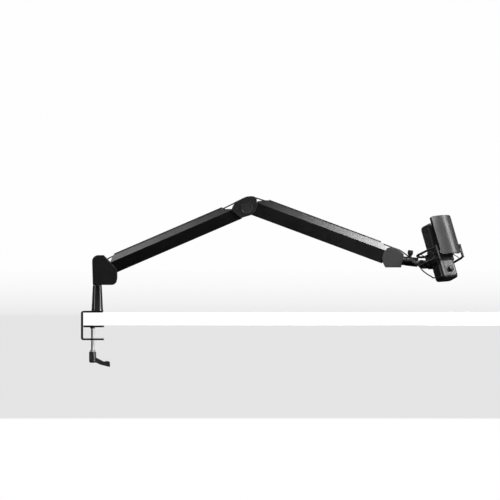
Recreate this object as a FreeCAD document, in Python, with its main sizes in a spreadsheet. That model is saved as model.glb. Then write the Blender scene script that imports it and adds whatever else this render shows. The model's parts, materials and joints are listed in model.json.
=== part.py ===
import FreeCAD, Part
import math
import os
import re
import Sketcher
from FreeCAD import Placement, Rotation, Vector

# Desk-clamped boom arm with a side-address condenser microphone, millimetres, +Z up.
# The origin is on the seat of the clamp, under the axis of the riser; +X runs along the reach.

SIZES = {
    # desk clamp
    "seat_thick": 1.0, "plate_thick": 3.6, "strip_thick": 4.4, "bracket_half": 25.0,
    "bracket_left": -41.9, "bracket_right": 15.0, "lip_right": 16.6, "lip_top": -67.1,
    "lip_thick": 4.2, "bend_round": 6.0, "bend_inside": 1.8, "seat_left": -35.0,
    "pad_left": -35.6, "pad_right": 17.4, "pad_half": 23.0, "pad_top": -33.3, "pad_bottom": -38.0,
    "screw_x": -12.1, "screw_round": 4.0, "screw_free": 4.05, "screw_top": -39.3,
    "shoe_round": 6.6, "shoe_bore": 4.35, "shoe_bottom": -41.6, "shoe_roof": -39.0,
    "collar_round": 6.85, "collar_top": -96.7, "collar_bottom": -101.7,
    "insert_round": 5.75, "insert_bottom": -113.5,
    "hub_round": 9.25, "hub_top": -101.9, "hub_edge": -126.4, "hub_foot": 7.4, "hub_bottom": -130.3,
    "hub_bore": 6.1, "web_top": -114.0, "web_bottom": -118.0, "web_bore": 3.1, "hub_well": 5.8,
    "bolt_round": 2.5, "bolt_head": 5.0, "head_top": -126.0, "head_bottom": -129.5,
    "coil_out": 5.2, "coil_in": 3.7, "coil_gap": 0.1, "lever_half": 6.2,
    # riser and turret
    "foot_round": 15.4, "foot_tall": 2.6, "riser_low": 14.8, "riser_high": 11.8, "riser_top": 70.2,
    "bush_out": 8.0, "bush_in": 6.05, "bush_bottom": 35.0, "bush_flange": 11.2, "flange_top": 71.2,
    "spigot_round": 6.0, "spigot_bottom": 37.0, "thrust_face": 71.4, "turret_floor": 72.0,
    # shoulder housing
    "pivot_x": 22.6, "pivot_z": 118.5, "hood_left": -12.6, "hood_right": 51.7, "hood_top": 149.5,
    "hood_slope_z": 113.0, "hood_slope_x": 16.4, "hood_in": 23.6, "hood_out": 27.0,
    "yoke_half": 23.55, "yoke_shelf": 86.0, "yoke_wall": -3.6, "yoke_top": 130.0,
    "pin_round": 4.0, "pin_free": 4.05, "pin_half": 25.5,
    # both arm tubes: section seen along the arm
    "tube_half": 22.0, "tube_top_half": 10.5, "wall": 2.0, "slot_half": 3.2,
    "lid_half": 11.3, "lid_thick": 2.6, "lid_edge": 1.3,
    # lower arm, measured from the shoulder pivot along its own line
    "lower_tilt": 23.3, "low_bottom": -24.0, "low_side": 6.5, "low_top": 21.4,
    "low_end": 375.0, "low_lid_start": 33.0, "low_lid_end": 338.5, "fork_start": 362.0,
    "elbow_along": 395.9, "elbow_drop": -4.4,
    # upper arm, measured from the elbow pivot along its own line
    "upper_tilt": -20.4, "up_bottom": -11.5, "up_side": 23.2, "up_top": 39.3,
    "up_clear": 22.0, "up_end": 380.0, "up_lid_start": 47.5, "up_lid_end": 357.8,
    "wrist_along": 397.1, "wrist_rise": 11.5,
    # elbow and wrist joints
    "cheek_in": 9.2, "cheek_out": 15.0, "cheek_round": 12.0, "tongue_half": 9.0,
    "cover_in": 22.4, "cover_out": 26.0, "short_pin": 24.2, "cap_round": 15.0, "cap_out": 27.2,
    "wrist_eye": 9.0, "wrist_eye_half": 8.0, "wrist_cheek": 8.3, "wrist_cheek_out": 22.4,
    # ball head, measured from the ball's centre
    "ball_x": 829.6, "ball_z": 131.0, "barrel_tilt": -6.4, "ball_round": 9.0, "socket_round": 9.3,
    "barrel_round": 12.0, "barrel_back": -45.0, "barrel_front": 4.0, "notch_half": 6.6,
    "knob_along": -18.4, "knob_stem": 2.5, "knob_free": 2.55,
    "neck_round": 3.6, "flange_round": 8.2, "flange_start": 14.5, "thread_start": 17.5,
    "thread_round": 4.7, "thread_end": 26.0, "thread_free": 4.75,
    "knuckle_start": 17.8, "knuckle_round": 9.0, "knuckle_floor": 26.4, "knuckle_end": 29.5,
    "fork_in": 4.4, "fork_out": 9.0, "fork_round": 6.5, "knuckle_reach": 36.5,
    "ear_half": 4.2, "ear_round": 6.3,
    # pose of the microphone
    "mic_yaw": -49.0, "mic_pitch": 20.0, "mic_roll": 3.1, "knuckle_bend": 27.5,
    # shock mount, measured from the microphone's centre
    "mount_level": -11.0, "rod_round": 2.9, "rod_level": 14.3, "rod_front": 36.0,
    "rod_side": 42.3, "bow_x": 20.0, "bow_side": 53.0, "bow_bend": 30.0,
    "flare_x": -29.0, "flare_side": 57.0, "flare_bend": 18.0,
    "rod_back": -43.0, "back_side": 30.0, "back_bend": 30.0, "post_round": 3.3, "post_half": 18.0,
    "knuckle_back": -59.0, "bridge_half": 10.0, "bridge_tall": 18.5, "cradle_x": 23.4, "cradle_y": 29.6,
    "cradle_half": 17.0, "hook_x": 14.0, "hook_reach": 34.0, "cord_round": 1.1,
    # microphone, measured from its centre: x to the front, y across, z along its body
    "mic_x": 20.6, "mic_y": 26.8, "mic_half": 76.0, "mic_corner": 11.0, "shell_wall": 2.0,
    "end_bend": 7.5, "seam_x": -8.0, "grille_low": 0.0, "capsule_z": 38.0, "capsule_round": 15.0,
    "capsule_half": 4.5, "dial_z": -52.5, "dial_round": 7.0, "dial_back": 21.4, "dial_front": 27.4,
    "shaft_round": 2.5, "shaft_free": 2.55, "port_z": -55.0,
    # pop filter
    "pop_curve": 118.0, "pop_apex": 46.0, "pop_half": 34.3, "pop_low": -18.0, "pop_high": 86.0,
    "pop_thick": 2.4, "pop_deep": 6.5, "pop_rim": 2.0, "pop_corner": 5.0,
    # microphone lead
    "lead_round": 1.65,
}

doc = FreeCAD.newDocument("boom_microphone")
sheet = doc.addObject("Spreadsheet::Sheet", "size")
for row, (alias, number) in enumerate(SIZES.items(), 1):
    sheet.set(f"A{row}", alias)
    sheet.set(f"B{row}", str(number))
    sheet.setAlias(f"B{row}", alias)
doc.recompute()


def value(alias):
    return float(sheet.get(alias))


def cells(expression):
    """Writes an expression in plain aliases as one that reads the sheet's cells."""
    return re.sub(r"[a-z]\w*", lambda word: "size." + word.group(0), str(expression))


# ---- primitives whose sizes and places are bound to the sheet ----

TURNS = {
    "x": Rotation(Vector(0, 1, 0), 90),
    "y": Rotation(Vector(1, 0, 0), -90),
    "z": Rotation(),
}


def box(name, x, y, z):
    """A block between two expressions on each axis."""
    piece = doc.addObject("Part::Box", name)
    spans = (("Length", "x", x), ("Width", "y", y), ("Height", "z", z))
    for side, base, (low, high) in spans:
        piece.setExpression(side, cells(f"({high}) - ({low})"))
        piece.setExpression(f"Placement.Base.{base}", cells(low))
    return piece


def cylinder(name, radius, axis, span, at=(0, 0)):
    """A round bar along x, y or z between the two ends of span, with its centre line at at."""
    piece = doc.addObject("Part::Cylinder", name)
    piece.Placement = Placement(Vector(), TURNS[axis])
    piece.setExpression("Radius", cells(radius))
    piece.setExpression("Height", cells(f"({span[1]}) - ({span[0]})"))
    piece.setExpression(f"Placement.Base.{axis}", cells(span[0]))
    for base, place in zip("xyz".replace(axis, ""), at):
        piece.setExpression(f"Placement.Base.{base}", cells(place))
    return piece


def sphere(name, radius):
    piece = doc.addObject("Part::Sphere", name)
    piece.setExpression("Radius", cells(radius))
    return piece


def cut(name, base, tool):
    piece = doc.addObject("Part::Cut", name)
    piece.Base = base
    piece.Tool = tool
    return piece


def fuse(name, *pieces):
    piece = doc.addObject("Part::MultiFuse", name)
    piece.Shapes = list(pieces)
    return piece


def common(name, first, second):
    piece = doc.addObject("Part::MultiCommon", name)
    piece.Shapes = [first, second]
    return piece


def group(name, *pieces):
    piece = doc.addObject("Part::Compound", name)
    piece.Links = list(pieces)
    return piece


# ---- sketched bodies ----

def origin_plane(body, role):
    for feature in body.Origin.OriginFeatures:
        if feature.Role == role:
            return feature
    raise ValueError(role)


def polygon_sketch(body, role, corners):
    """A closed outline on an origin plane; each corner is (x, y) or (x, y, fillet radius)."""
    sketch = body.newObject("Sketcher::SketchObject", body.Name + "_outline")
    sketch.AttachmentSupport = [(origin_plane(body, role), "")]
    sketch.MapMode = "FlatFace"
    count = len(corners)
    turn = 2 * math.pi / count
    start = [Vector(math.cos(turn * i), math.sin(turn * i), 0) for i in range(count)]
    for i in range(count):
        sketch.addGeometry(Part.LineSegment(start[i], start[(i + 1) % count]))
    for i in range(count):
        sketch.addConstraint(Sketcher.Constraint("Coincident", i, 2, (i + 1) % count, 1))
    for i, corner in enumerate(corners):
        for kind, place, first in (("DistanceX", corner[0], start[i].x),
                                   ("DistanceY", corner[1], start[i].y)):
            index = sketch.addConstraint(Sketcher.Constraint(kind, -1, 1, i, 1, first))
            sketch.setExpression(f"Constraints[{index}]", cells(place))
    return sketch


def fillet(body, radius, names):
    solid = body.Tip
    feature = body.newObject("PartDesign::Fillet", body.Name + "_fillet")
    feature.Base = (solid, names)
    feature.setExpression("Radius", cells(radius))
    body.Tip = feature
    doc.recompute()


def round_corners(body, sketch, corners):
    """Rounds the padded edges that stand on the outline's corners."""
    radii = {}
    for index, corner in enumerate(corners):
        if len(corner) == 3:
            radii.setdefault(corner[2], []).append(sketch.getPoint(index, 1))
    for radius, points in radii.items():
        names = []
        inverse = sketch.getGlobalPlacement().inverse()
        for number, edge in enumerate(body.Shape.Edges, 1):
            ends = [inverse.multVec(vertex.Point) for vertex in edge.Vertexes]
            if len(ends) == 2 and any(
                all(math.hypot(end.x - point.x, end.y - point.y) < 1e-4 for end in ends)
                for point in points
            ):
                names.append(f"Edge{number}")
        fillet(body, radius, names)


def prism(name, role, corners, span):
    """A body padded from one expression to another along its plane's normal.
    The normal of XZ_Plane is -Y, so there a positive span lies on the near side."""
    body = doc.addObject("PartDesign::Body", name)
    sketch = polygon_sketch(body, role, corners)
    sketch.setExpression("AttachmentOffset.Base.z", cells(span[0]))
    pad = body.newObject("PartDesign::Pad", name + "_pad")
    pad.Profile = sketch
    pad.setExpression("Length", cells(f"({span[1]}) - ({span[0]})"))
    doc.recompute()
    round_corners(body, sketch, corners)
    return body


def turned(name, corners):
    """A body of revolution about its own Z; corners are (radius, height)."""
    body = doc.addObject("PartDesign::Body", name)
    sketch = polygon_sketch(body, "XZ_Plane", corners)
    spin = body.newObject("PartDesign::Revolution", name + "_spin")
    spin.Profile = sketch
    spin.ReferenceAxis = (sketch, ["V_Axis"])
    spin.Angle = 360
    doc.recompute()
    return body


def soften(body, radius, axis, level):
    """Rounds every edge that lies in the plane where axis equals level."""
    names = []
    for number, edge in enumerate(body.Shape.Edges, 1):
        low = getattr(edge.BoundBox, axis.upper() + "Min")
        high = getattr(edge.BoundBox, axis.upper() + "Max")
        if abs(low - level) < 1e-4 and abs(high - level) < 1e-4:
            names.append(f"Edge{number}")
    fillet(body, radius, names)


# ---- the finished sub-parts ----

NODES = {}


def node(name, piece, place=None):
    """Labels a finished sub-part and puts it in its place on the object."""
    if place is not None:
        if piece.TypeId in ("Part::Box", "Part::Cylinder", "Part::Sphere"):
            piece = group(name + "_placed", piece)
        piece.Placement = place
    piece.Label = name
    NODES[name] = piece
    return piece


def tilted(x, z, degrees):
    """A frame in the XZ plane whose x axis points degrees above +X."""
    return Placement(Vector(x, 0, z), Rotation(Vector(0, 1, 0), -degrees))


LOWER = tilted(value("pivot_x"), value("pivot_z"), value("lower_tilt"))
ELBOW = LOWER.multVec(Vector(value("elbow_along"), 0, value("elbow_drop")))
UPPER = tilted(ELBOW.x, ELBOW.z, value("upper_tilt"))
WRIST = UPPER.multVec(Vector(value("wrist_along"), 0, value("wrist_rise")))
AT_ELBOW = Placement(ELBOW, Rotation())
AT_WRIST = Placement(WRIST, Rotation())
BARREL = tilted(value("ball_x"), value("ball_z"), value("barrel_tilt"))
BALL = BARREL.Base
MIC_TURN = Rotation(value("mic_yaw"), -value("mic_pitch"), value("mic_roll"))
STEM_TURN = MIC_TURN * Rotation(Vector(0, 1, 0), value("knuckle_bend"))
STEM = Placement(BALL, STEM_TURN)
KNUCKLE = STEM.multVec(Vector(value("knuckle_reach"), 0, 0))
EAR = Vector(value("knuckle_back"), 0, value("mount_level"))
MIC = Placement(KNUCKLE - MIC_TURN.multVec(EAR), MIC_TURN)


# ---- desk clamp ----

def clamp():
    seat_top = "seat_thick"
    plate_top = "seat_thick + plate_thick"
    inside = "bracket_left + strip_thick"
    lip_bottom = "lip_top - lip_thick"
    strip = prism("bent_strip", "XZ_Plane", [
        ("bracket_left", lip_bottom, "bend_round"), ("lip_right", lip_bottom),
        ("lip_right", "lip_top"), (inside, "lip_top", "bend_inside"),
        (inside, seat_top, "bend_inside"), ("bracket_right", seat_top),
        ("bracket_right", plate_top), ("bracket_left", plate_top, "bend_round"),
    ], ("-bracket_half", "bracket_half"))
    bore = cylinder("lip_bore", "screw_free", "z", ("lip_top - 10", "lip_top + 5"), ("screw_x", 0))
    node("clamp_bracket", cut("bracket_cut", strip, bore))
    node("seat_pad", prism("seat_sheet", "XY_Plane", [
        ("seat_left", "1 - bracket_half", 3), ("bracket_right - 1", "1 - bracket_half", 3),
        ("bracket_right - 1", "bracket_half - 1", 3), ("seat_left", "bracket_half - 1", 3),
    ], (0, "seat_thick")))
    plate = prism("pad_sheet", "XY_Plane", [
        ("pad_left", "-pad_half", 4), ("pad_right", "-pad_half", 4),
        ("pad_right", "pad_half", 4), ("pad_left", "pad_half", 4),
    ], ("pad_bottom", "pad_top"))
    node("pad_plate", plate)
    on_screw = Placement(Vector(value("screw_x"), 0, 0), Rotation())
    node("screw_shoe", turned("shoe", [
        (0, "pad_bottom"), ("shoe_round", "pad_bottom"), ("shoe_round", "shoe_bottom + 1"),
        ("shoe_round - 1", "shoe_bottom"), ("shoe_bore", "shoe_bottom"),
        ("shoe_bore", "shoe_roof"), (0, "shoe_roof"),
    ]), on_screw)
    node("clamp_screw", turned("spindle", [
        (0, "insert_bottom"), ("screw_round", "insert_bottom"), ("screw_round", "screw_top - 1"),
        ("screw_round - 1", "screw_top"), (0, "screw_top"),
    ]), on_screw)
    node("toothed_collar", turned("collar", [
        ("screw_round", "collar_top"), ("collar_round - 0.8", "collar_top"),
        ("collar_round", "collar_top - 0.8"), ("collar_round", "collar_bottom"),
        ("insert_round", "collar_bottom"), ("insert_round", "insert_bottom"),
        ("screw_round", "insert_bottom"),
    ]), on_screw)
    node("lever_screw", turned("lever_bolt", [
        (0, "insert_bottom"), ("bolt_round", "insert_bottom"), ("bolt_round", "head_top"),
        ("bolt_head", "head_top"), ("bolt_head", "head_bottom + 0.6"),
        ("bolt_head - 0.6", "head_bottom"), (0, "head_bottom"),
    ]), on_screw)
    node("lever_spring", turned("return_coil", [
        ("coil_in", "web_bottom - coil_gap"), ("coil_out", "web_bottom - coil_gap"),
        ("coil_out", "head_top + coil_gap"), ("coil_in", "head_top + coil_gap"),
    ]), on_screw)
    hub = turned("hub", [
        ("hub_bore", "hub_top"), ("hub_round - 0.8", "hub_top"), ("hub_round", "hub_top - 0.8"),
        ("hub_round", "hub_edge"), ("hub_foot", "hub_bottom"), ("hub_well", "hub_bottom"),
        ("hub_well", "web_bottom"), ("web_bore", "web_bottom"), ("web_bore", "web_top"),
        ("hub_bore", "web_top"),
    ])
    grip = prism("grip", "XZ_Plane", [
        (6.2, "hub_bottom + 14.9"), (30.8, "hub_bottom + 2.5", 3), (33.4, "hub_bottom + 4.7", 1.6),
        (43, "hub_bottom + 3.8", 1.6), (45.1, "hub_bottom + 0.6", 1.6),
        (45.1, "hub_bottom - 11.2", 1.6), (19, "hub_bottom - 4.7", 12), (6.2, "hub_bottom + 1.8"),
    ], ("-lever_half", "lever_half"))
    soften(grip, 1.4, "y", value("lever_half"))
    soften(grip, 1.4, "y", -value("lever_half"))
    node("clamp_lever", fuse("lever", hub, grip), on_screw)


# ---- riser, turret and shoulder housing ----

def riser():
    base = "seat_thick + plate_thick"
    ring = base + " + foot_tall"
    node("riser_post", turned("post", [
        (0, base), ("foot_round", base), ("foot_round", ring), ("riser_low", ring),
        ("riser_high", "riser_top"), ("bush_out", "riser_top"), ("bush_out", "bush_bottom"),
        (0, "bush_bottom"),
    ]))
    node("riser_bush", turned("bush", [
        ("bush_in", "bush_bottom"), ("bush_out", "bush_bottom"), ("bush_out", "riser_top"),
        ("bush_flange", "riser_top"), ("bush_flange", "flange_top"), ("bush_in", "flange_top"),
    ]))
    node("turret_spigot", turned("spigot", [
        (0, "spigot_bottom"), ("spigot_round", "spigot_bottom"), ("spigot_round", "thrust_face"),
        ("bush_flange", "thrust_face"), ("bush_flange", "turret_floor"), (0, "turret_floor"),
    ]))


def shoulder():
    hood = [
        ("hood_left + 1.4", "turret_floor", 2), ("hood_right", "turret_floor", 19),
        ("hood_right", "hood_slope_z", 3), ("hood_slope_x", "hood_top", 4),
        ("hood_left - 0.8", "hood_top", 16),
    ]
    axle = cylinder("shoulder_axle", "pin_round", "y", ("-pin_half", "pin_half"),
                    ("pivot_x", "pivot_z"))
    for side, span, face in (
        ("near", ("hood_in", "hood_out"), -value("hood_out")),
        ("far", ("-hood_out", "-hood_in"), value("hood_out")),
    ):
        shell = prism("hood_" + side, "XZ_Plane", hood, span)
        soften(shell, 1.6, "y", face)
        node("shoulder_cover_" + side, cut("hood_bored_" + side, shell, axle))
    node("shoulder_pin", axle)
    node("turret_yoke", prism("yoke", "XZ_Plane", [
        ("hood_left + 2.4", "turret_floor"), ("hood_right - 1.2", "turret_floor", 13),
        ("hood_right - 1.2", "yoke_shelf"), ("yoke_wall", "yoke_shelf", 3),
        ("yoke_wall", "yoke_top"), ("hood_left + 0.6", "yoke_top"),
    ], ("-yoke_half", "yoke_half")))


# ---- arm tubes ----

def tube_section(name, bottom, side, top, inset, span):
    """A bar of the arm's section, inset from the outer faces by the given expression."""
    lean = f"({inset}) * 0.45"
    return prism(name, "YZ_Plane", [
        (f"-tube_half + {inset}", f"{bottom} + {inset}"),
        (f"tube_half - {inset}", f"{bottom} + {inset}"),
        (f"tube_half - {inset}", f"{side} - {lean}"),
        (f"tube_top_half - {lean}", f"{top} - {inset}"),
        (f"-tube_top_half + {lean}", f"{top} - {inset}"),
        (f"-tube_half + {inset}", f"{side} - {lean}"),
    ], span)


def lid(name, top, span):
    """The thin cover that clips over the lead's channel on top of an arm."""
    return prism(name, "YZ_Plane", [
        ("-lid_half", top), ("lid_half", top), ("lid_half", f"{top} + lid_thick - lid_edge", 0.8),
        ("lid_half - lid_edge", f"{top} + lid_thick", 0.6),
        ("-lid_half + lid_edge", f"{top} + lid_thick", 0.6),
        ("-lid_half", f"{top} + lid_thick - lid_edge", 0.8),
    ], span)


def lower_arm():
    outer = tube_section("lower_bar", "low_bottom", "low_side", "low_top", 0,
                         ("low_bottom", "low_end"))
    soften(outer, 1.6, "z", value("low_bottom"))
    end = fuse(
        "lower_end",
        cylinder("lower_nose", "-low_bottom", "y", ("-30", "30")),
        box("lower_run", (0, "low_end"), (-30, 30), ("low_bottom", "low_top")),
    )
    hollow = tube_section("lower_hollow", "low_bottom", "low_side", "low_top", "wall",
                          ("low_bottom - 1", "low_end + 1"))
    mouth = prism("lower_mouth", "XZ_Plane", [
        (-40, "low_side"), (14, "low_side"), (31, "low_top + 1"), (31, 40), (-40, 40),
    ], (-30, 30))
    lip = prism("lower_lip", "XZ_Plane", [
        ("low_lid_end + 0.4", "low_top + 1"), ("low_lid_end + 7", "low_top - 5.9"),
        ("low_end - 14", "low_side + 2.5"), ("low_end + 1", "low_side - 3"), ("low_end + 1", 40),
        ("low_lid_end + 0.4", 40),
    ], (-30, 30))
    slot = box("lower_slot", (0, 350), ("-slot_half", "slot_half"), ("low_top - 5", "low_top + 5"))
    fork_room = box("fork_room", ("fork_start", "low_end + 1"), ("-cheek_out - 0.6", "cheek_out + 0.6"),
                    (-40, 40))
    bore = cylinder("lower_bore", "pin_free", "y", (-30, 30))
    rounded = common("lower_rounded", outer, end)
    tools = fuse("lower_tools", hollow, mouth, lip, slot, fork_room, bore)
    node("lower_tube", cut("lower_tube_cut", rounded, tools), LOWER)
    node("lower_channel_cover", lid("lower_lid", "low_top", ("low_lid_start", "low_lid_end")), LOWER)
    node("lower_spring", cylinder("lower_coil", 7, "x", (60, 260), (0, -8)), LOWER)

    root = box("fork_root", (335, "fork_start"), ("-cheek_out", "cheek_out"), (-20, 4))
    cheeks = []
    for side in (-1, 1):
        near = "cheek_in" if side > 0 else "-cheek_out"
        away = "cheek_out" if side > 0 else "-cheek_in"
        cheeks.append(box(f"cheek_arm{side}", ("fork_start - 5", "elbow_along"), (near, away),
                          ("elbow_drop - 10", "elbow_drop + 8")))
        cheeks.append(cylinder(f"cheek_eye{side}", "cheek_round", "y", (near, away),
                               ("elbow_along", "elbow_drop")))
    eye = cylinder("fork_bore", "pin_round", "y", (-30, 30), ("elbow_along", "elbow_drop"))
    node("elbow_fork", cut("fork_bored", fuse("fork", root, *cheeks), eye), LOWER)


def elbow_covers():
    """Two covers that hide the elbow; they turn with the lower arm."""
    outline = [
        (-37.8, -7.5, 3), (-38.2, -0.5, 5), (-33.5, 10.2, 8), (-13.5, 24.8, 16), (0, 30.6, 14),
        (12, 31.8, 10), (21.5, 30.6, 5), (26.6, 24.0, 5), (27.8, 8.0, 8), (23.0, -8.6, 8),
        (14.2, -16.6, 3), (-15.2, -25.4, 3),
    ]
    axle = cylinder("elbow_axle", "pin_round", "y", ("-short_pin", "short_pin"))
    caps = []
    for side, span, face in (
        ("near", ("cover_in", "cover_out"), -value("cover_out")),
        ("far", ("-cover_out", "-cover_in"), value("cover_out")),
    ):
        shell = prism("elbow_shell_" + side, "XZ_Plane", outline, span)
        soften(shell, 1.4, "y", face)
        node("elbow_cover_" + side, cut("elbow_bored_" + side, shell, axle), AT_ELBOW)
    for side, place in ((-1, 1), (1, -1)):
        cap = turned(f"cap{side}", [
            (0, "cover_out"), ("cap_round", "cover_out"), ("cap_round", "cap_out - 0.4"),
            ("cap_round - 0.4", "cap_out"), ("cap_round - 2.2", "cap_out"),
            ("cap_round - 2.8", "cap_out - 0.5"), (0, "cap_out - 0.5"),
        ])
        cap.Placement = Placement(Vector(), Rotation(Vector(1, 0, 0), 90 * place))
        caps.append(cap)
    node("elbow_caps", group("elbow_cap_pair", *caps), AT_ELBOW)
    node("elbow_pin", axle, AT_ELBOW)


def upper_arm():
    outer = tube_section("upper_bar", "up_bottom", "up_side", "up_top", 0, (10, "up_end"))
    soften(outer, 1.6, "z", value("up_bottom"))
    hollow = tube_section("upper_hollow", "up_bottom", "up_side", "up_top", "wall",
                          (0, "up_end + 1"))
    scoop = cylinder("upper_scoop", "up_clear", "y", (-30, 30))
    mouth = prism("upper_mouth", "XZ_Plane", [
        (5, "up_clear * 0.4"), (20.2, "up_clear * 0.4"), (20.2, "up_top - 11.8"),
        (34.6, "up_top - 4.6"), ("up_lid_start - 0.4", "up_top + 1"), ("up_lid_start - 0.4", 60),
        (5, 60),
    ], (-30, 30))
    lip = prism("upper_lip", "XZ_Plane", [
        ("up_lid_end + 0.5", "up_top + 1"), ("up_end - 5", "up_top - 7"),
        ("up_end - 2", "up_top - 16"), ("up_end + 5", "up_top - 16"),
        ("up_end + 5", "up_top + 9"), ("up_lid_end", "up_top + 9"),
    ], (-30, 30))
    slot = box("upper_slot", (0, 400), ("-slot_half", "slot_half"), ("up_top - 5", "up_top + 5"))
    tools = fuse("upper_tools", hollow, scoop, mouth, lip, slot)
    node("upper_tube", cut("upper_tube_cut", outer, tools), UPPER)
    node("upper_channel_cover", lid("upper_lid", "up_top", ("up_lid_start", "up_lid_end")), UPPER)
    node("upper_spring", cylinder("upper_coil", 7, "x", (80, 300), (0, 6)), UPPER)

    root = box("tongue_root", (30, 62), ("-cheek_out", "cheek_out"), (-9, 18))
    arm = box("tongue_arm", (0, 40), ("-tongue_half", "tongue_half"), (-8.5, 10))
    eye = cylinder("tongue_eye", "cheek_round", "y", ("-tongue_half", "tongue_half"))
    bore = cylinder("tongue_bore", "pin_free", "y", (-30, 30))
    node("elbow_tongue", cut("tongue_bored", fuse("tongue", root, arm, eye), bore), UPPER)

    at_wrist = ("wrist_along", "wrist_rise")
    block = box("wrist_root", (330, 376), ("-cheek_out", "cheek_out"), (-6, 20))
    reach = box("wrist_arm", (370, "wrist_along"), ("-wrist_eye_half", "wrist_eye_half"),
                ("wrist_rise - wrist_eye", "wrist_rise + wrist_eye - 2"))
    loop = cylinder("wrist_loop", "wrist_eye", "y", ("-wrist_eye_half", "wrist_eye_half"), at_wrist)
    hole = cylinder("wrist_hole", "pin_free", "y", (-30, 30), at_wrist)
    node("wrist_tongue", cut("wrist_bored", fuse("wrist_link", block, reach, loop), hole), UPPER)


# ---- wrist and ball head ----

def wrist():
    outline = [
        (-22.5, -11.0, 6), (-25.0, -1.5, 8), (-21.1, 11.0, 8), (-10.5, 24.4, 4), (-4.0, 26.2, 4),
        (12.5, 24.5, 4), (32.6, 8.6, 2.5), (29.0, -6.0, 4), (25.4, -26.0, 1.5), (-15.1, -26.0, 3),
    ]
    axle = cylinder("wrist_axle", "pin_round", "y", ("-short_pin", "short_pin"))
    for side, span, face in (
        ("near", ("cover_in", "cover_out"), -value("cover_out")),
        ("far", ("-cover_out", "-cover_in"), value("cover_out")),
    ):
        shell = prism("wrist_shell_" + side, "XZ_Plane", outline, span)
        soften(shell, 1.2, "y", face)
        node("wrist_cover_" + side, cut("wrist_cover_bored_" + side, shell, axle), AT_WRIST)
    node("wrist_pin", axle, AT_WRIST)

    barrel = turned("barrel_bar", [
        (0, "barrel_back"), ("barrel_round - 0.4", "barrel_back"),
        ("barrel_round - 0.4", "knob_along - 9"), ("barrel_round", "knob_along - 8.4"),
        ("barrel_round", "barrel_front - 1"), ("barrel_round - 1", "barrel_front"),
        (0, "barrel_front"),
    ])
    barrel.Placement = Placement(Vector(), TURNS["x"])
    socket = sphere("socket", "socket_round")
    notch = box("notch", (-6, "barrel_front + 1"), (-20, 0), ("-notch_half", "notch_half"))
    screw_hole = cylinder("lock_hole", "knob_free", "z", (4, 20), ("knob_along", 0))
    node("ball_head_barrel",
         cut("barrel_cut", barrel, fuse("barrel_tools", socket, notch, screw_hole)), BARREL)

    middle = prism("wrist_middle", "XZ_Plane", [
        (13, -24), (24.4, -24, 3), (26.4, -13), (30, 4), (18, 13, 3), (13, 14),
    ], ("-wrist_cheek_out", "wrist_cheek_out"))
    cheeks = []
    for side in (-1, 1):
        span = ("wrist_cheek", "wrist_cheek + 6") if side > 0 else ("-wrist_cheek - 6", "-wrist_cheek")
        cheeks.append(cylinder(f"wrist_cheek{side}", "wrist_eye", "y", span))
        cheeks.append(box(f"wrist_strap{side}", (0, 16), span, (-8, 8)))
    seat = cylinder("barrel_seat", "barrel_round - 0.4", "x", ("barrel_back", 0))
    seat_place = group("barrel_seat_placed", seat)
    seat_place.Placement = AT_WRIST.inverse() * BARREL
    bore = cylinder("wrist_cheek_bore", "pin_round", "y", (-30, 30))
    node("wrist_block",
         cut("wrist_block_cut", fuse("wrist_body", middle, *cheeks),
             fuse("wrist_tools", seat_place, bore)), AT_WRIST)

    knob = turned("lock_grip", [
        (0, 5), ("knob_stem", 5), ("knob_stem", "barrel_round + 0.5"),
        (4.6, "barrel_round + 0.5"), (4.6, 15.5), (6.4, 18.5), (6.1, 27), (6.9, 28.6), (5.6, 29.4),
        (0, 29.4),
    ])
    node("lock_knob", knob, BARREL * Placement(Vector(value("knob_along"), 0, 0), Rotation()))


def head():
    neck = turned("neck", [
        (0, 0), ("neck_round", 0), ("neck_round", "flange_start"),
        ("flange_round", "flange_start"), ("flange_round", "thread_start"),
        ("thread_round", "thread_start"), ("thread_round", "thread_end"), (0, "thread_end"),
    ])
    neck.Placement = Placement(Vector(), TURNS["x"])
    ball = sphere("ball", "ball_round")
    ball.Placement = Placement(Vector(), TURNS["x"])
    node("ball_stud", fuse("stud", ball, neck), STEM)

    base = turned("knuckle_base", [
        ("thread_free", "knuckle_start"), ("knuckle_round - 1", "knuckle_start"),
        ("knuckle_round", "knuckle_start + 1"), ("knuckle_round", "knuckle_end"),
        (0, "knuckle_end"), (0, "knuckle_floor"), ("thread_free", "knuckle_floor"),
    ])
    base.Placement = Placement(Vector(), TURNS["x"])
    forks = []
    for side in (-1, 1):
        span = ("fork_in", "fork_out") if side > 0 else ("-fork_out", "-fork_in")
        forks.append(box(f"fork_arm{side}", ("knuckle_end - 2", "knuckle_reach"), span,
                         ("-fork_round", "fork_round")))
        forks.append(cylinder(f"fork_eye{side}", "fork_round", "y", span, ("knuckle_reach", 0)))
    throat = box("knuckle_throat", ("knuckle_end", 60), ("-fork_in", "fork_in"), (-20, 20))
    bore = cylinder("knuckle_bore", "knob_free", "y", (-30, 30), ("knuckle_reach", 0))
    shape = cut("knuckle_cut", fuse("knuckle", base, *forks), fuse("knuckle_tools", throat, bore))
    node("knuckle_fork", shape, STEM)

    thumb = turned("thumb", [
        (0, -9), ("knob_stem", -9), ("knob_stem", "fork_out + 0.4"), (4.2, "fork_out + 0.4"),
        (4.2, 12.5), (7.4, 14), (7.8, 20.5), (6.8, 21.6), (0, 21.6),
    ])
    place = STEM * Placement(Vector(value("knuckle_reach"), 0, 0), Rotation(Vector(1, 0, 0), 90))
    node("tilt_knob", thumb, place)


# ---- shock mount ----

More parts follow.
